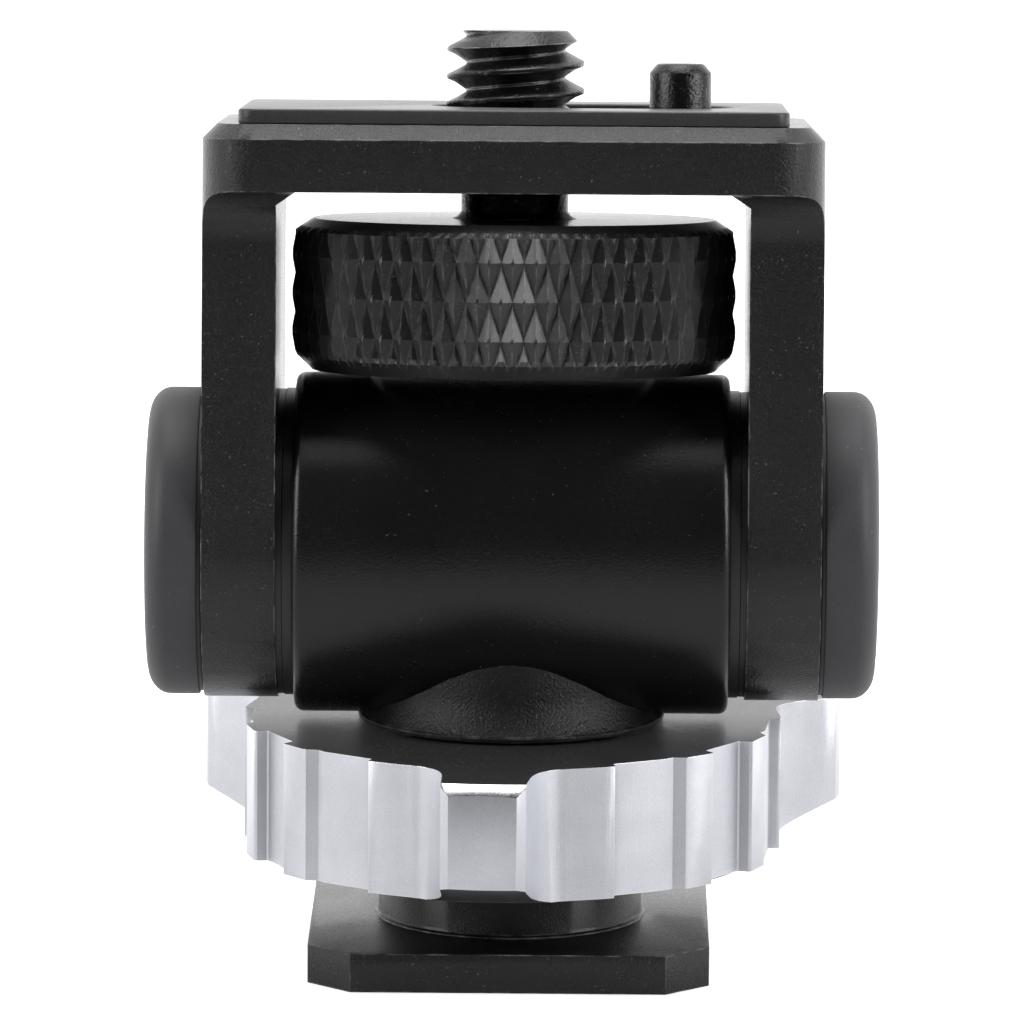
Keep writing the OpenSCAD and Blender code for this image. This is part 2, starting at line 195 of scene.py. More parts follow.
def machined(name, base, rough, lines, metal=1.0, line_scale=(2500, 2500, 60000), bump=0.15,
             edge_highlight=0.6, corner_shade=0.0):
    """Machined metal: fine tool lines, slight cloudiness, a painted highlight along the
    edges, and painted shade in corners when asked.
    """
    material, shader, surface = new_material(name)
    place = shader.place()
    tool = shader.noise(shader.place(line_scale), scale=1.0, detail=2.0, rough=0.6)
    fine = shader.noise(place, scale=16000.0, detail=2.0, rough=0.6)
    broad = shader.noise(place, scale=260.0, detail=3.0, rough=0.5)

    cloud = shader.ramp(broad, (0.3, 0.90), (0.7, 1.06))
    grain = shader.ramp(fine, (0.3, 0.93), (0.7, 1.05))
    colour = shader.tint(base, cloud, grain)
    edge = shader.edge_mask()
    # painted highlight: a lighter colour along the edges
    edge_highlight_colour = tuple(min(1.0, c * 1.5 + 0.05) for c in base)
    colour = shader.mix(shader.times(edge, edge_highlight), colour, edge_highlight_colour)
    # painted shade: ambient occlusion darkens the colour in concave corners and creases
    if corner_shade:
        occlusion = shader.add("AmbientOcclusion", {"Distance": 0.0022}, samples=8)
        corner_shade_mask = shader.ramp(occlusion.outputs["AO"], (0.40, 1.0), (0.93, 0.0))
        colour = shader.mix(shader.times(corner_shade_mask, corner_shade), colour,
                            tuple(c * 0.18 for c in base))

    roughness = shader.plus(shader.swing(tool, spread=0.18 * lines, middle=rough),
                            shader.swing(fine, spread=0.10))
    height = shader.plus(shader.times(tool, lines), fine)
    shader.feed(surface, {
        "Base Color": colour, "Metallic": metal, "Roughness": roughness,
        "Normal": shader.bump(height, strength=bump, distance=0.00001)})
    return material


def moulded(name, base, rough, grain, bump, specular=0.5, sheen=0.0, dust=0.0):
    """Moulded plastic or rubber: fine texture, faint mottling, a little dust."""
    material, shader, surface = new_material(name)
    place = shader.place()
    fine = shader.noise(place, scale=grain, detail=3.0, rough=0.6)
    broad = shader.noise(place, scale=220.0, detail=4.0, rough=0.6)
    mottle = shader.ramp(broad, (0.3, 0.90), (0.7, 1.10))
    texture = shader.ramp(fine, (0.3, 0.85), (0.7, 1.15))
    colour = shader.tint(base, mottle, texture)

    # dust: a speck at the centre of a few random cells
    cells = shader.add("TexVoronoi", {"Scale": 2600.0, "Vector": place})
    cell_colour = shader.add("SeparateColor", {"Color": cells.outputs["Color"]})
    chosen = shader.ramp(cell_colour.outputs["Green"], (0.93, 0.0), (0.95, 1.0))
    centre = shader.ramp(cells.outputs["Distance"], (0.08, 1.0), (0.2, 0.0))
    specks = shader.times(shader.times(chosen, centre), dust)

    roughness = shader.plus(shader.swing(fine, spread=0.2, middle=rough),
                            shader.swing(broad, spread=0.12))
    shader.feed(surface, {
        "Base Color": shader.mix(specks, colour, DUST_GREY), "Roughness": roughness,
        "Specular IOR Level": specular, "Sheen Weight": sheen, "Sheen Roughness": 0.4,
        "Normal": shader.bump(fine, strength=bump, distance=0.00002)})
    return material


# these anodised finishes carry painted glints and a painted highlight on their worn edges
BLACK = anodised("black_anodised", (0.0085, 0.0085, 0.0092), rough=0.31, grain=8500.0,
                 edge_wear_and_highlight=1.0, glint_colour=DULL_GLINT, coat=0.3, coat_rough=0.15)
BLACK_SMOOTH = anodised("black_anodised_satin", (0.0090, 0.0090, 0.0100), rough=0.24,
                        grain=9000.0, glint_amount=-0.06, bump=0.30, edge_wear_and_highlight=0.9)
NECK = anodised("black_anodised_blasted", (0.0095, 0.0095, 0.0105), rough=0.34,
                grain=7500.0, edge_wear_and_highlight=0.5, glint_colour=DULL_GLINT)
KNURL = anodised("black_anodised_knurl", (0.018, 0.018, 0.019), rough=0.30, grain=15000.0,
                 glint_amount=0.03, bump=0.30, edge_wear_and_highlight=0.4, coat=0.4, coat_rough=0.14)
# silver: painted shade in corners and a painted highlight along the edges
SILVER = machined("silver_anodised", (0.86, 0.87, 0.93), rough=0.38, lines=0.7, metal=0.9,
                  line_scale=(9000, 9000, 500), bump=0.9, edge_highlight=0.9, corner_shade=0.9)
BRIGHT = machined("bright_cut", (0.80, 0.80, 0.82), rough=0.22, lines=0.4, bump=0.1)
# painted shade: a dark finish for the wheel's top face, downward faces and bore, where the
# wheel lies in shadow
WHEEL_PAINTED_SHADE = anodised("wheel_painted_shade", (0.034, 0.034, 0.036), rough=0.31, grain=8500.0,
                       glint_amount=0.01, glint_colour=DULL_GLINT, coat=0.3, coat_rough=0.18)
STEEL = machined("zinc_steel", (0.42, 0.42, 0.43), rough=0.34, lines=0.8,
                 line_scale=(20000, 20000, 1500))
BLACK_STEEL = anodised("black_oxide_steel", (0.006, 0.006, 0.0065), rough=0.24,
                       grain=5000.0, bump=0.8, specular=0.6, edge_wear_and_highlight=1.2)
CAP = moulded("cap_grey", (0.062, 0.062, 0.067), rough=0.52, grain=11000.0, bump=0.45,
              dust=0.3)
PAD = moulded("pad_rubber", (0.058, 0.058, 0.060), rough=0.30, grain=13000.0, bump=0.7,
              specular=0.4, sheen=0.15, dust=0.35)
BLACK_PLASTIC = moulded("washer_black", (0.034, 0.034, 0.036), rough=0.4, grain=9000.0,
                        bump=0.2)
WHITE_PLASTIC = moulded("washer_white", (0.62, 0.61, 0.57), rough=0.45, grain=9000.0,
                        bump=0.2)


# ---------------------------------------------------------------- mesh helpers
def add_object(name, data):
    ob = bpy.data.objects.new(name, data)
    scene.collection.objects.link(ob)
    return ob


def mesh_from(bm, name):
    """Moves a bmesh into a new mesh and frees it."""
    mesh = bpy.data.meshes.new(name)
    bm.to_mesh(mesh)
    bm.free()
    return mesh


def place_bm(bm, placing):
    bmesh.ops.transform(bm, matrix=placing, verts=bm.verts)
    bmesh.ops.recalc_face_normals(bm, faces=bm.faces)


def finish(bm, name, materials, body, replaced, sharp, placing=IDENTITY):
    """Turns a bmesh in millimetres into a finished piece in metres.

    Edges that turn by more than sharp degrees are shaded sharp.
    """
    place_bm(bm, MM @ placing)
    mesh = mesh_from(bm, name)
    for material in materials:
        mesh.materials.append(material)
    mesh.polygons.foreach_set("use_smooth", [True] * len(mesh.polygons))
    mesh.set_sharp_from_angle(angle=math.radians(sharp))
    ob = add_object(name, mesh)
    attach(ob, body)
    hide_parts(replaced)


def bm_from(verts, faces):
    bm = bmesh.new()
    made = [bm.verts.new(v) for v in verts]
    for face in faces:
        bm.faces.new([made[i] for i in face])
    return bm


def on_circle(r, i, n, z):
    """Point i of n round the Z axis."""
    angle = 2 * math.pi * i / n
    return (r * math.cos(angle), r * math.sin(angle), z)


def lathe(profile, n=96):
    """Turned solid about Z. profile: (r, z) points; r = 0 ends become single points."""
    verts, faces, rings = [], [], []
    for r, z in profile:
        count = 1 if r < 1e-6 else n
        rings.append(range(len(verts), len(verts) + count))
        verts += [(0, 0, z)] if count == 1 else [on_circle(r, i, n, z) for i in range(n)]
    for a, b in zip(rings, rings[1:]):
        for i in range(n):
            j = (i + 1) % n
            if len(a) == 1:
                faces.append((a[0], b[i], b[j]))
            elif len(b) == 1:
                faces.append((a[i], b[0], a[j]))
            else:
                faces.append((a[i], b[i], b[j], a[j]))
    return bm_from(verts, faces)


def stack(rings):
    """Closed solid through rings of (x, y, z) points, one after another."""
    n = len(rings[0])
    verts = [point for ring in rings for point in ring]
    last = len(verts) - n
    faces = [tuple(range(n)), tuple(range(last, last + n))]
    for k in range(0, last, n):
        faces += [(k + i, k + (i + 1) % n, k + n + (i + 1) % n, k + n + i) for i in range(n)]
    return bm_from(verts, faces)


def prism(outline, start, end, plane="xy"):
    """Straight solid from an outline; plane says which axes the outline lies in."""
    def point(a, b, h):
        return {"xy": (a, b, h), "yz": (h, a, b), "xz": (a, h, b)}[plane]
    return stack([[point(a, b, h) for a, b in outline] for h in (start, end)])


def arc(cx, cy, r, start, end, n):
    """n + 1 points along an arc; angles in degrees."""
    angles = [math.radians(start + (end - start) * i / n) for i in range(n + 1)]
    return [(cx + r * math.cos(a), cy + r * math.sin(a)) for a in angles]


def round_rect(width, depth, r, n=12):
    x, y = width / 2 - r, depth / 2 - r
    return (arc(x, y, r, 0, 90, n) + arc(-x, y, r, 90, 180, n)
            + arc(-x, -y, r, 180, 270, n) + arc(x, -y, r, 270, 360, n))


def solid_from(bm, placing=IDENTITY):
    """Working object in millimetres, for Booleans."""
    place_bm(bm, placing)
    return add_object("tmp", mesh_from(bm, "tmp"))


def discard(ob):
    mesh = ob.data
    bpy.data.objects.remove(ob)
    bpy.data.meshes.remove(mesh)


def boolean(solid, bm, operation, placing=IDENTITY):
    """Applies a Boolean of bm to a working object."""
    tool = solid_from(bm, placing)
    modifier = solid.modifiers.new("b", "BOOLEAN")
    modifier.operation = operation
    modifier.solver = "EXACT"
    modifier.object = tool
    depsgraph = bpy.context.evaluated_depsgraph_get()
    depsgraph.update()
    mesh = bpy.data.meshes.new_from_object(solid.evaluated_get(depsgraph))
    solid.modifiers.clear()
    old = solid.data
    solid.data = mesh
    bpy.data.meshes.remove(old)
    discard(tool)


def cut(solid, bm, placing=IDENTITY):
    boolean(solid, bm, "DIFFERENCE", placing)


def to_bm(solid):
    """Takes a working object back to a clean bmesh."""
    bm = bmesh.new()
    bm.from_mesh(solid.data)
    discard(solid)
    bmesh.ops.remove_doubles(bm, verts=bm.verts, dist=1e-4)
    bmesh.ops.dissolve_degenerate(bm, dist=1e-4, edges=bm.edges)
    return bm


def bevel_sharp(bm, width, segments, angle, pick=lambda edge: True):
    """Bevels the picked edges that turn by more than angle degrees."""
    bm.normal_update()
    limit = math.radians(angle)
    edges = [e for e in bm.edges
             if len(e.link_faces) == 2 and e.calc_face_angle(0) > limit and pick(e)]
    bmesh.ops.bevel(bm, geom=edges, offset=width, offset_type="OFFSET", segments=segments,
                    profile=0.5, affect="EDGES", clamp_overlap=True, loop_slide=True)


# ---------------------------------------------------------------- yoke
def build_yoke():
    """Chamfered top plate on two arms with round lower ends."""
    width, depth = 28.3, 19.4
    corner_r, chamfer = 2.5, 0.67
    plate_low = 16.45
    fillet = depth / 2 - ARM_BOTTOM_R     # arm flank to plate edge
    gap = 10.77                           # half the gap between the arms
    gap_rise, gap_in = 0.65, 0.92         # slope in the gap's upper corners
    over = 1                              # overshoot of the side outline

    side = (arc(0, 0, ARM_BOTTOM_R, 180, 360, 48)
            + arc(depth / 2, plate_low - fillet, fillet, 180, 90, 12)
            + [(depth / 2 + over, plate_low), (depth / 2 + over, PLATE_TOP + over),
               (-depth / 2 - over, PLATE_TOP + over), (-depth / 2 - over, plate_low)]
            + arc(-depth / 2, plate_low - fillet, fillet, 90, 0, 12))
    solid = solid_from(prism(side, -width / 2 - over, width / 2 + over, "yz"))

    full = round_rect(width, depth, corner_r)
    top = round_rect(width - 2 * chamfer, depth - 2 * chamfer, corner_r - chamfer)
    block = [[(x, y, z) for x, y in ring]
             for ring, z in ((full, -12), (full, PLATE_TOP - chamfer), (top, PLATE_TOP))]
    boolean(solid, stack(block), "INTERSECT")

    gap_outline = [(-gap, -20), (gap, -20), (gap, plate_low - gap_rise),
                   (gap - gap_in, plate_low), (-gap + gap_in, plate_low),
                   (-gap, plate_low - gap_rise)]
    cut(solid, prism(gap_outline, -20, 20, "xz"))

    # (r, distance along the axis) of each bore
    arm_bore = [(0, 9), (2.55, 9), (2.55, 12.25), (5.2, 12.25), (5.2, 16), (0, 16)]
    for placing in (TO_RIGHT, TO_LEFT):
        cut(solid, lathe(arm_bore), placing)
    screw_bore = [(0, 15), (2.95, 15), (2.95, 16.46), (2.55, 16.86), (2.55, 17.6),
                  (3.7, 17.6), (3.7, 21), (0, 21)]
    cut(solid, lathe(screw_bore))
    pin_bore = [(0, 16.1), (2.3, 16.1), (2.3, 19.15), (1.47, 19.15), (1.47, 21), (0, 21)]
    cut(solid, lathe(pin_bore, 64), AT_PIN)
    pocket = [(PIN_X + x, y) for x, y in round_rect(6.1, 5.6, 2.79)]
    cut(solid, prism(pocket, 15, 16.76))

    bm = to_bm(solid)
    bevel_sharp(bm, width=0.11, segments=2, angle=32)
    finish(bm, "yoke_frame", [BLACK], "yoke", "yoke", 25, YOKE)


# ---------------------------------------------------------------- pad
def build_pad():
    """Rubber pad on the plate, with a long slot for the screw and pin."""
    pad_top = 20.2
    slot_left, slot_right, slot_r = -3.86, 10.06, 3.85
    solid = solid_from(prism(round_rect(25.0, 17.9, 0.8, 8), PLATE_TOP, pad_top))
    slot = (arc(slot_right - slot_r, 0, slot_r, -90, 90, 24)
            + arc(slot_left + slot_r, 0, slot_r, 90, 270, 24))
    cut(solid, prism(slot, 19, 21))
    bm = to_bm(solid)
    bevel_sharp(bm, width=0.12, segments=3, angle=40)
    finish(bm, "pad_rubber", [PAD], "yoke", "top_pad", 30, YOKE)


# ---------------------------------------------------------------- camera screw
def thread():
    """Helical sheet closed at both ends, longer than the finished thread."""
    pitch, major, minor = 1.27, 3.175, 2.30
    crest = pitch / 2
    start_z, turns, n = 16.38, 8, 96
    # one pitch of thread: (height, r)
    form = [(0.0, minor), (0.12, minor), (0.30, minor + 0.26), (0.47, minor + 0.52),
            (0.60, major - 0.03), (crest + 0.03, major), (crest + 0.14, major),
            (crest + 0.18, major - 0.03), (0.98, minor + 0.52), (1.12, minor + 0.26)]
    step = len(form)
    last = step * turns

    def at(i, j):
        return j * n + i

    verts = []
    for j in range(last + 1):
        turn, q = divmod(j, step)
        height, r = form[q]
        verts += [on_circle(r, i, n, start_z + turn * pitch + height + pitch * i / n)
                  for i in range(n)]
    faces = []
    for j in range(last):
        for i in range(n - 1):
            faces.append((at(i, j), at(i + 1, j), at(i + 1, j + 1), at(i, j + 1)))
        if j + step + 1 <= last:     # the seam joins each turn to the next
            faces.append((at(n - 1, j), at(0, j + step), at(0, j + step + 1),
                          at(n - 1, j + 1)))

    low = [at(i, 0) for i in range(n)] + [at(0, j) for j in range(step, 0, -1)]
    high = ([at(i, last) for i in range(n)]
            + [at(n - 1, j) for j in range(last - 1, last - step - 1, -1)])
    for loop in (low, high):
        centre = len(verts)
        verts.append((0, 0, sum(verts[i][2] for i in loop) / len(loop)))
        faces += [(loop[i], loop[(i + 1) % len(loop)], centre) for i in range(len(loop))]
    return bm_from(verts, faces)


def build_screw():
    """Threaded end with a tapered tip, on a plain shank."""
    envelope = [(0, 19.1), (2.2, 19.1), (3.3, 19.45), (3.3, 22.72), (2.46, 23.60),
                (2.38, 23.67), (0, 23.67)]
    shank = [(0, 9.6), (2.0, 9.6), (2.0, 15.02), (2.86, 15.02), (2.72, 15.06),
             (2.58, 15.16), (2.475, 15.35), (2.475, 17.56), (2.25, 17.62), (2.25, 18.2),
             (2.475, 18.26), (2.475, 18.9), (2.25, 19.2), (2.25, 19.6), (0, 19.6)]
    solid = solid_from(thread())
    boolean(solid, lathe(envelope), "INTERSECT")
    boolean(solid, lathe(shank), "UNION")
    finish(to_bm(solid), "camera_screw_threaded", [BLACK_STEEL], "thumbscrew",
           "mount_screw", 30, YOKE)


# ---------------------------------------------------------------- knurled thumbwheel
def build_thumbwheel():
    """Disc under the plate with a diamond knurl round its chamfered rim."""
    r_rim, z0, z1 = 10.24, 8.0, 15.0
    diamonds, sub = 60, 8            # diamonds round the rim, steps per half diamond
    n = diamonds * 2 * sub
    half_height, groove_depth = 1.78, 0.30
    crossing_z = 11.55               # height of one row of crossing points
    chamfer_in, top_rise, bottom_rise = 0.92, 0.65, 0.90

    def knurl_r(i, z):
        u = i / sub
        v = (z - crossing_z) / half_height
        a, b = (u + v) / 2, (u - v) / 2
        height = min(abs(t - math.floor(t + 0.5)) * 2 for t in (a, b))
        return r_rim - groove_depth * (1 - min(1.0, height * 1.12))

    def chamfer_r(z):
        inner = r_rim - chamfer_in
        return min((z1 - z) / top_rise * chamfer_in + inner,
                   (z - z0) / bottom_rise * chamfer_in + inner)

    row_step = half_height / sub
    k_low = math.ceil((z0 + 0.30 - crossing_z) / row_step)
    k_high = math.floor((z1 - 0.14 - crossing_z) / row_step)
    rows = [crossing_z + k * row_step for k in range(k_low, k_high + 1)]
    # (r, z): shallow recess in the underside, out to the rim; then the top, inwards
    underside = [(2.6, z0 + 0.35), (6.2, z0 + 0.35), (6.5, z0 + 0.05), (6.6, z0),
                 (r_rim - 0.97, z0), (r_rim - 0.90, z0 + 0.03)]
    top = [(r_rim - 0.90, z1 - 0.03), (r_rim - 0.97, z1), (4.6, z1), (2.3, z1)]

    rings = [([r] * n, z) for r, z in underside]
    rings += [([min(knurl_r(i, z), chamfer_r(z)) for i in range(n)], z) for z in rows]
    rings += [([r] * n, z) for r, z in top]
    verts = [on_circle(r, i, n, z) for radii, z in rings for i, r in enumerate(radii)]

    faces = []
    first = len(underside)
    for q in range(len(rings) - 1):
        a, b = q * n, (q + 1) * n
        k = k_low + q - first
        on_rim = first <= q < first + len(rows) - 1
        for i in range(n):
            j = (i + 1) % n
            if not on_rim:
                faces.append((a + i, a + j, b + j, b + i))
            elif (i + k + 1) % (2 * sub) == 0:     # a groove follows this diagonal
                faces += [(a + i, a + j, b + i), (a + j, b + j, b + i)]
            else:
                faces += [(a + i, a + j, b + j), (a + i, b + j, b + i)]
    for q in (0, len(rings) - 1):
        centre = len(verts)
        verts.append((0, 0, rings[q][1]))
        faces += [(q * n + i, q * n + (i + 1) % n, centre) for i in range(n)]
    finish(bm_from(verts, faces), "thumb_wheel_knurled", [KNURL], "thumbscrew",
           "thumb_wheel", 14, YOKE)


# ---------------------------------------------------------------- locating pin
def build_pin():
    profile = [(0, 19.03), (2.02, 19.03), (2.1, 19.06), (2.1, 19.12), (1.43, 19.13),
               (1.43, 21.72), (1.40, 21.80), (1.12, 22.13), (1.02, 22.19), (0.9, 22.2),
               (0, 22.2)]
    finish(lathe(profile), "locating_pin_turned", [BLACK_STEEL], "pin", "locating_pin",
           30, YOKE @ AT_PIN)


# ---------------------------------------------------------------- end caps
def build_caps():
    """A shallow domed cap on the outer face of each arm."""
    # (r, distance from the yoke's middle along the tilt axis)
    profile = [(0, 14.35), (4.4, 14.35), (4.4, 13.05), (5.15, 13.05), (5.17, 13.15),
               (5.17, 14.35), (6.62, 14.35), (6.64, 14.17), (6.90, 14.17), (6.94, 14.21),
               (6.95, 14.35), (7.06, 14.38), (7.1, 14.48), (7.1, 15.70), (7.085, 15.88),
               (7.04, 16.05), (6.95, 16.22), (6.83, 16.37), (6.67, 16.51), (6.49, 16.62),
               (6.28, 16.70), (6.02, 16.755), (5.6, 16.79), (5.0, 16.82), (4.0, 16.853),
               (3.0, 16.877), (1.5, 16.895), (0, 16.9)]
    for side, placing in (("right", TO_RIGHT), ("left", TO_LEFT)):
        finish(lathe(profile, 160), "cap_" + side, [CAP], "yoke", "end_cap_" + side,
               35, YOKE @ placing)


# ---------------------------------------------------------------- barrel and neck
def build_barrel():
    """Barrel along the tilt axis, joined to an upright flared neck, both bored out."""
    half_length, edge_r = 10.0, 0.42
    n, spans = 192, 40
    rounding = arc(BARREL_R - edge_r, half_length - edge_r, edge_r, 0, 90, 6)
    straight = 2 * half_length - 2 * edge_r
    barrel = [(0, -half_length)]
    barrel += [(r, -z) for r, z in reversed(rounding)]
    barrel += [(BARREL_R, -half_length + edge_r + straight * i / spans)
               for i in range(1, spans)]
    barrel += rounding + [(0, half_length)]
    neck = [(0, 11.1), (6.95, 11.1), (7.06, 11.13), (7.1, 11.2), (7.1, 11.32),
            (7.03, 11.38), (6.97, 11.38), (6.90, 11.46), (6.78, 11.65), (6.65, 11.88),
            (6.54, 12.12), (6.45, 12.36), (6.39, 12.6), (6.36, 12.8)]
    neck += [(6.35, 13.0 + 0.25 * i) for i in range(17)] + [(0, NECK_TOP)]
    barrel_bore = [(0, -20), (5.5, -20), (5.5, 20), (0, 20)]
    neck_bore = [(0, 5), (4.9, 5), (4.9, 11.45), (3.3, 11.45), (3.3, 17), (0, 17)]

    solid = solid_from(lathe(barrel, n), TILT_AXIS)
    boolean(solid, lathe(neck, n), "UNION")
    cut(solid, lathe(barrel_bore), TILT_AXIS)
    cut(solid, lathe(neck_bore))
    bm = to_bm(solid)
    bm.normal_update()
    for face in bm.faces:
        c = face.calc_center_median()
        outside_barrel = math.hypot(c.y, c.z - TILT_Z) > BARREL_R + 0.01
        if c.z < NECK_TOP and math.hypot(c.x, c.y) < 7.2 and outside_barrel:
            face.material_index = 1
    finish(bm, "barrel_and_neck", [BLACK_SMOOTH, NECK], "head", "swivel_barrel",
           30)


# ---------------------------------------------------------------- lobed clamping wheel
WHEEL_TIP_R = 16.4
LOBE_HALF = 3.1 / 2              # half the flat at a lobe's tip
LAND_R, GROOVE_R = 12.5, 12.0    # rim between the lobes, and the shallow steps in it
# flank of a lobe: (extra half width, depth below the tip)
LOBE_FLANK = [(0, 0), (0.37, 0.38), (0.40, 1.2), (0.43, 1.7), (0.45, 2.1), (0.50, 2.55),
              (0.58, 2.9), (0.70, 3.25), (0.85, 3.52), (1.05, 3.78), (1.32, 4.02),
              (1.65, 4.23)]
# rim from a flank to midway between lobes: (degrees from the lobe's middle, r)
RIM = [(15.4, LAND_R + 0.08), (17.0, LAND_R + 0.03), (19.0, LAND_R + 0.02),
       (21.5, LAND_R + 0.02), (24.0, LAND_R + 0.02), (26.6, LAND_R + 0.02),
       (26.95, LAND_R - 0.16), (27.25, GROOVE_R + 0.02), (27.6, GROOVE_R),
       (40.0, GROOVE_R + 0.1), (42.4, GROOVE_R), (44.6, LAND_R - 0.12),
       (45.2, LAND_R - 0.08), (52.3, LAND_R - 0.08), (52.8, LAND_R - 0.2),
       (53.2, GROOVE_R - 0.14), (53.6, GROOVE_R - 0.2), (60.0, GROOVE_R - 0.28)]


def wheel_outline():
    lobes, first_angle = 3, -94      # the first lobe points to the front
    pitch = 360 // lobes
    half = []
    for extra, depth in LOBE_FLANK:
        across, out = LOBE_HALF + extra, WHEEL_TIP_R - depth
        half.append((math.degrees(math.atan2(across, out)), math.hypot(across, out)))
    half += RIM
    sector = half + [(pitch - a, r) for a, r in reversed(half[:-1])]
    points = []
    for k in range(lobes):
        for a, r in sector:
            t = math.radians(first_angle + pitch * k + a)
            points.append((r * math.cos(t), r * math.sin(t)))
    return points


def build_wheel():
    z0, z1, tip = WHEEL_Z0, WHEEL_Z1, WHEEL_TIP_R
    # (r, z): envelope that slopes the lobes' lower and upper corners
    envelope = [(0, z0 - 1), (12.0, z0 - 1), (12.75, z0 + 0.02), (tip + 0.6, z0 + 1.55),
                (tip + 0.6, z1 - 1.02), (tip - 0.46, z1 + 0.02), (tip - 1.3, z1 + 1),
                (0, z1 + 1)]
    bore = [(0, 3), (11.6, 3), (11.6, 5.22), (6.45, 5.22), (6.45, 8.0), (5.05, 8.0),
            (5.05, 13), (0, 13)]
    solid = solid_from(prism(wheel_outline(), z0, z1))
    boolean(solid, lathe(envelope, 192), "INTERSECT")
    cut(solid, lathe(bore, 128))
    bm = to_bm(solid)
    bevel_sharp(bm, width=0.13, segments=2, angle=38)

    # painted shade: the top face, downward faces and bore take the dark finish where the
    # wheel lies in shadow; up-facing chamfers are bright cut
    silver, painted_shade, bright = range(3)
    bm.normal_update()
    for face in bm.faces:
        c = face.calc_center_median()
        up = face.normal.z
        on_top = up > 0.985 and c.z > z1 - 0.05
        if on_top or up < -0.25 or math.hypot(c.x, c.y) < 6.6:
            face.material_index = painted_shade
        elif 0.15 < up < 0.985:
            face.material_index = bright
        else:
            face.material_index = silver
    finish(bm, "clamping_wheel", [SILVER, WHEEL_PAINTED_SHADE, BRIGHT], "wheel", "lock_wheel",
           22)


# ---------------------------------------------------------------- shoe foot
def build_foot():
    """Plate with cut corners, carrying a stepped boss with a countersunk bore."""
    x, y, corner, thick = 9.2, 9.6, 2.0, 1.8      # x and y are half sizes
    outline = [(-x + corner, -y), (x - corner, -y), (x, -y + corner), (x, y - corner),
               (x - corner, y), (-x + corner, y), (-x, y - corner), (-x, -y + corner)]
    envelope = [(0, -1), (14, -1), (14, thick - 0.68), (11.75, thick + 0.05),
                (0, thick + 0.05)]
    boss = [(0, 1.0), (6.28, 1.0), (6.28, 1.79), (6.25, 1.86), (6.15, 1.94), (6.1, 2.08),
            (6.1, 4.5), (6.04, 4.64), (5.9, 4.7), (5.0, 4.72), (5.0, 10.8), (4.85, 11.0),
            (3.25, 11.0), (3.25, 13.3), (3.05, 13.5), (0, 13.5)]
    bore = [(0, -1), (4.16, -1), (4.16, 0.1), (2.15, 2.11), (2.15, 15), (0, 15)]

    def on_plate_rim(edge):
        points = [v.co for v in edge.verts]
        return max(math.hypot(p.x, p.y) for p in points) > 7.0 and max(
            p.z for p in points) < 1.9

    solid = solid_from(prism(outline, 0, thick))
    boolean(solid, lathe(envelope, 192), "INTERSECT")
    boolean(solid, lathe(boss, 160), "UNION")
    cut(solid, lathe(bore))
    bm = to_bm(solid)
    bevel_sharp(bm, width=0.12, segments=2, angle=40, pick=on_plate_rim)
    finish(bm, "shoe_foot_plate", [BLACK], "base", "shoe_foot", 28)


build_yoke()
build_pad()
build_screw()
build_thumbwheel()
build_pin()
build_caps()
build_barrel()
build_wheel()
build_foot()

# CAD pieces that keep their own shape
CAD_MATERIALS = [
    (STEEL, ["swivel_bolt", "swivel_nut", "swivel_disc_springs", "saddle_washer",
             "end_plug_left", "end_plug_right", "tilt_screw_left", "tilt_screw_right",
             "tilt_disc_spring_left", "tilt_disc_spring_right", "shank_ring", "pin_spring"]),
    (WHITE_PLASTIC, ["swivel_friction_washer"]),
    (PAD, ["clamp_pad"]),
    (BLACK_PLASTIC, ["friction_washer_left", "friction_washer_right",
                     "thrust_washer_left", "thrust_washer_right"]),
    (BLACK_STEEL, ["pin_cover_plate"]),
]
for material, names in CAD_MATERIALS:
    for name in names:
        piece = nodes[name]
        if not piece.material_slots:
            piece.data.materials.append(material)
        for slot in piece.material_slots:
            slot.material = material


# ---------------------------------------------------------------- floor (in metres)
def floor_material():
    """Pale floor with painted shade and light: darker towards the front and glowing brighter
    towards the back to the camera only, and clear from below.
    """
    material, shader, surface = new_material("floor_pale")
    split = shader.add("SeparateXYZ", {0: shader.place()})
    along = shader.calc("MULTIPLY_ADD", split.outputs["Y"], 1.0, 0.5)
    light_path = shader.add("LightPath")

    def seen(indirect, *stops):
        """A ramp along Y for camera rays; other rays take the plain value."""
        # inputs: factor, value for other rays, value for camera rays
        inputs = {0: light_path.outputs["Is Camera Ray"],
                  2: shader.ramp(along, *stops), 3: indirect}
        return shader.add("Mix", inputs).outputs[0]

    # painted shade and light: to the camera the floor darkens towards the front and glows
    # brighter towards the back
    floor_shade_tone = seen(0.88, (0.20, 0.08), (0.40, 0.30), (0.49, 0.45), (0.60, 0.80), (0.9, 0.9))
    grey = shader.add("CombineColor", {0: floor_shade_tone, 1: floor_shade_tone, 2: floor_shade_tone})
    glow = seen(0.75, (0.20, 0.03), (0.40, 0.08), (0.49, 0.16), (0.62, 0.80), (0.9, 1.25))
    shader.feed(surface, {
        "Roughness": 0.9, "Specular IOR Level": 0.1, "Base Color": grey.outputs[0],
        "Emission Color": (1, 1, 1), "Emission Strength": glow})
    below = shader.add("NewGeometry").outputs["Backfacing"]
    clear = shader.add("BsdfTransparent").outputs[0]
    either = shader.add("MixShader", {0: below, 1: surface.outputs[0], 2: clear})
    output = material.node_tree.nodes["Material Output"]
    shader.feed(output, {"Surface": either.outputs[0]})
    return material


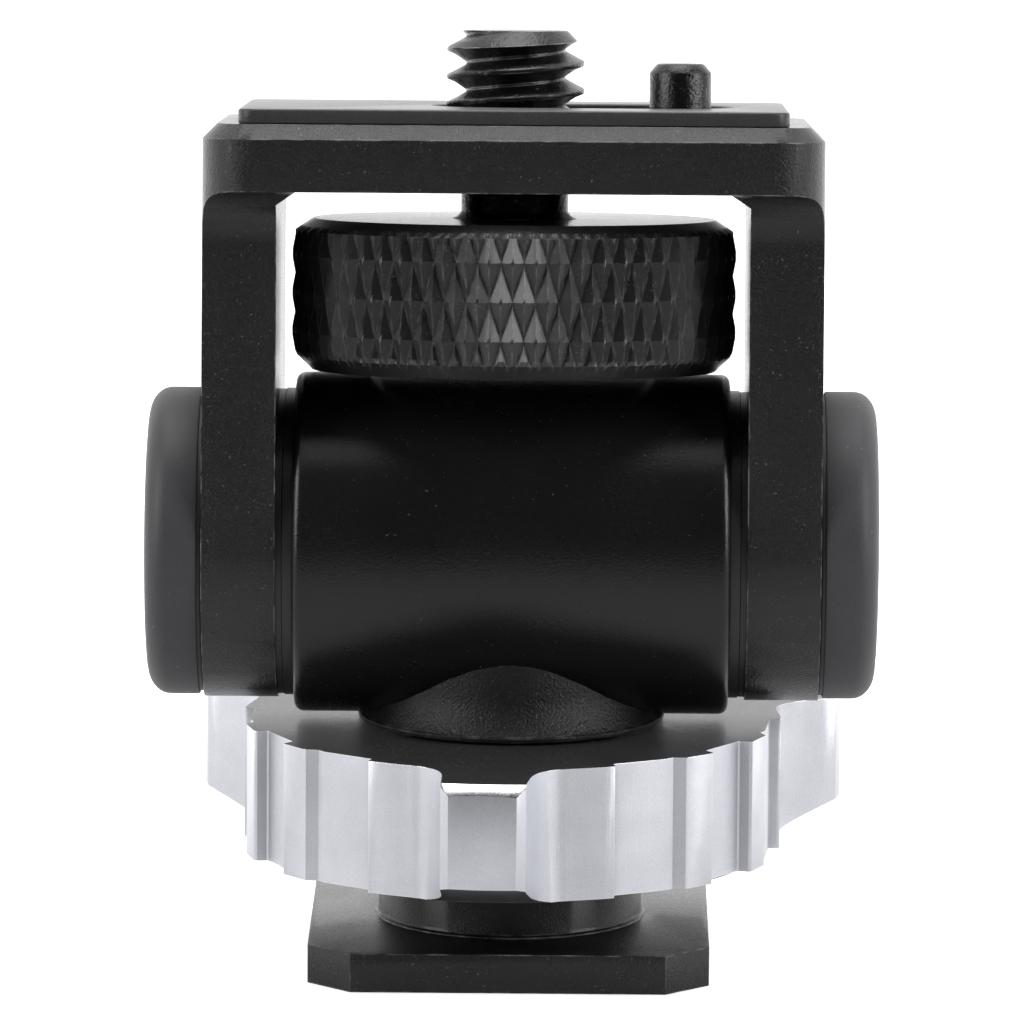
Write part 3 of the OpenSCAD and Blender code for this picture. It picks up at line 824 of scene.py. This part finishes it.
def build_floor():
    bm = bmesh.new()
    bmesh.ops.create_grid(bm, x_segments=4, y_segments=4, size=2.5)
    mesh = mesh_from(bm, "floor")
    ob = add_object("floor", mesh)
    mesh.materials.append(floor_material())
    ob.location = (0, 0, -0.00005)


build_floor()


# ---------------------------------------------------------------- lights, world, camera
def area_light(name, location, width, height, power):
    light = bpy.data.lights.new(name, "AREA")
    light.shape = "RECTANGLE"
    light.size = width
    light.size_y = height
    light.energy = power
    ob = add_object(name, light)
    ob.location = location
    aim = Vector((0, 0, 0.02)) - Vector(location)
    ob.rotation_euler = aim.to_track_quat("-Z", "Y").to_euler()


area_light("key_left", (-0.42, -0.17, 0.24), width=0.22, height=0.42, power=1.25)
area_light("key_right", (0.42, -0.17, 0.24), width=0.22, height=0.42, power=1.45)
area_light("overhead", (0.0, 0.03, 0.50), width=0.36, height=0.30, power=1.4)


def build_world():
    """Surroundings dark at the front (-Y) and bright at the back."""
    world = bpy.data.worlds.new("studio")
    scene.world = world
    world.use_nodes = True
    shader = Shader(world.node_tree)
    split = shader.add("SeparateXYZ", {0: shader.add("TexCoord").outputs["Generated"]})
    along = shader.calc("MULTIPLY_ADD", split.outputs["Y"], 0.5, 0.5)
    glow = shader.ramp(along, (0.35, 0.03), (0.56, 0.16), (0.70, 0.95), (1.0, 1.35))
    shader.feed(world.node_tree.nodes["Background"], {"Color": glow, "Strength": 1.0})


def build_camera():
    pitch, yaw, roll = 0.1719, -0.0075, 0.0066     # radians; pitch looks down
    camera = bpy.data.cameras.new("camera")
    camera.sensor_width = 36.0
    camera.lens = 341.71172
    camera.clip_start = 0.01
    camera.clip_end = 10
    forward = Vector((math.sin(yaw) * math.cos(pitch), math.cos(yaw) * math.cos(pitch),
                      -math.sin(pitch)))
    level = Vector((math.cos(yaw), -math.sin(yaw), 0))
    upright = level.cross(forward)
    right = level * math.cos(roll) + upright * math.sin(roll)
    up = -level * math.sin(roll) + upright * math.cos(roll)
    placing = Matrix((right, up, -forward)).transposed().to_4x4()
    placing.translation = Vector((0.0033, -0.44274, 0.0975))
    ob = add_object("camera", camera)
    ob.matrix_world = placing
    scene.camera = ob


build_world()
build_camera()
scene.view_settings.view_transform = "Standard"
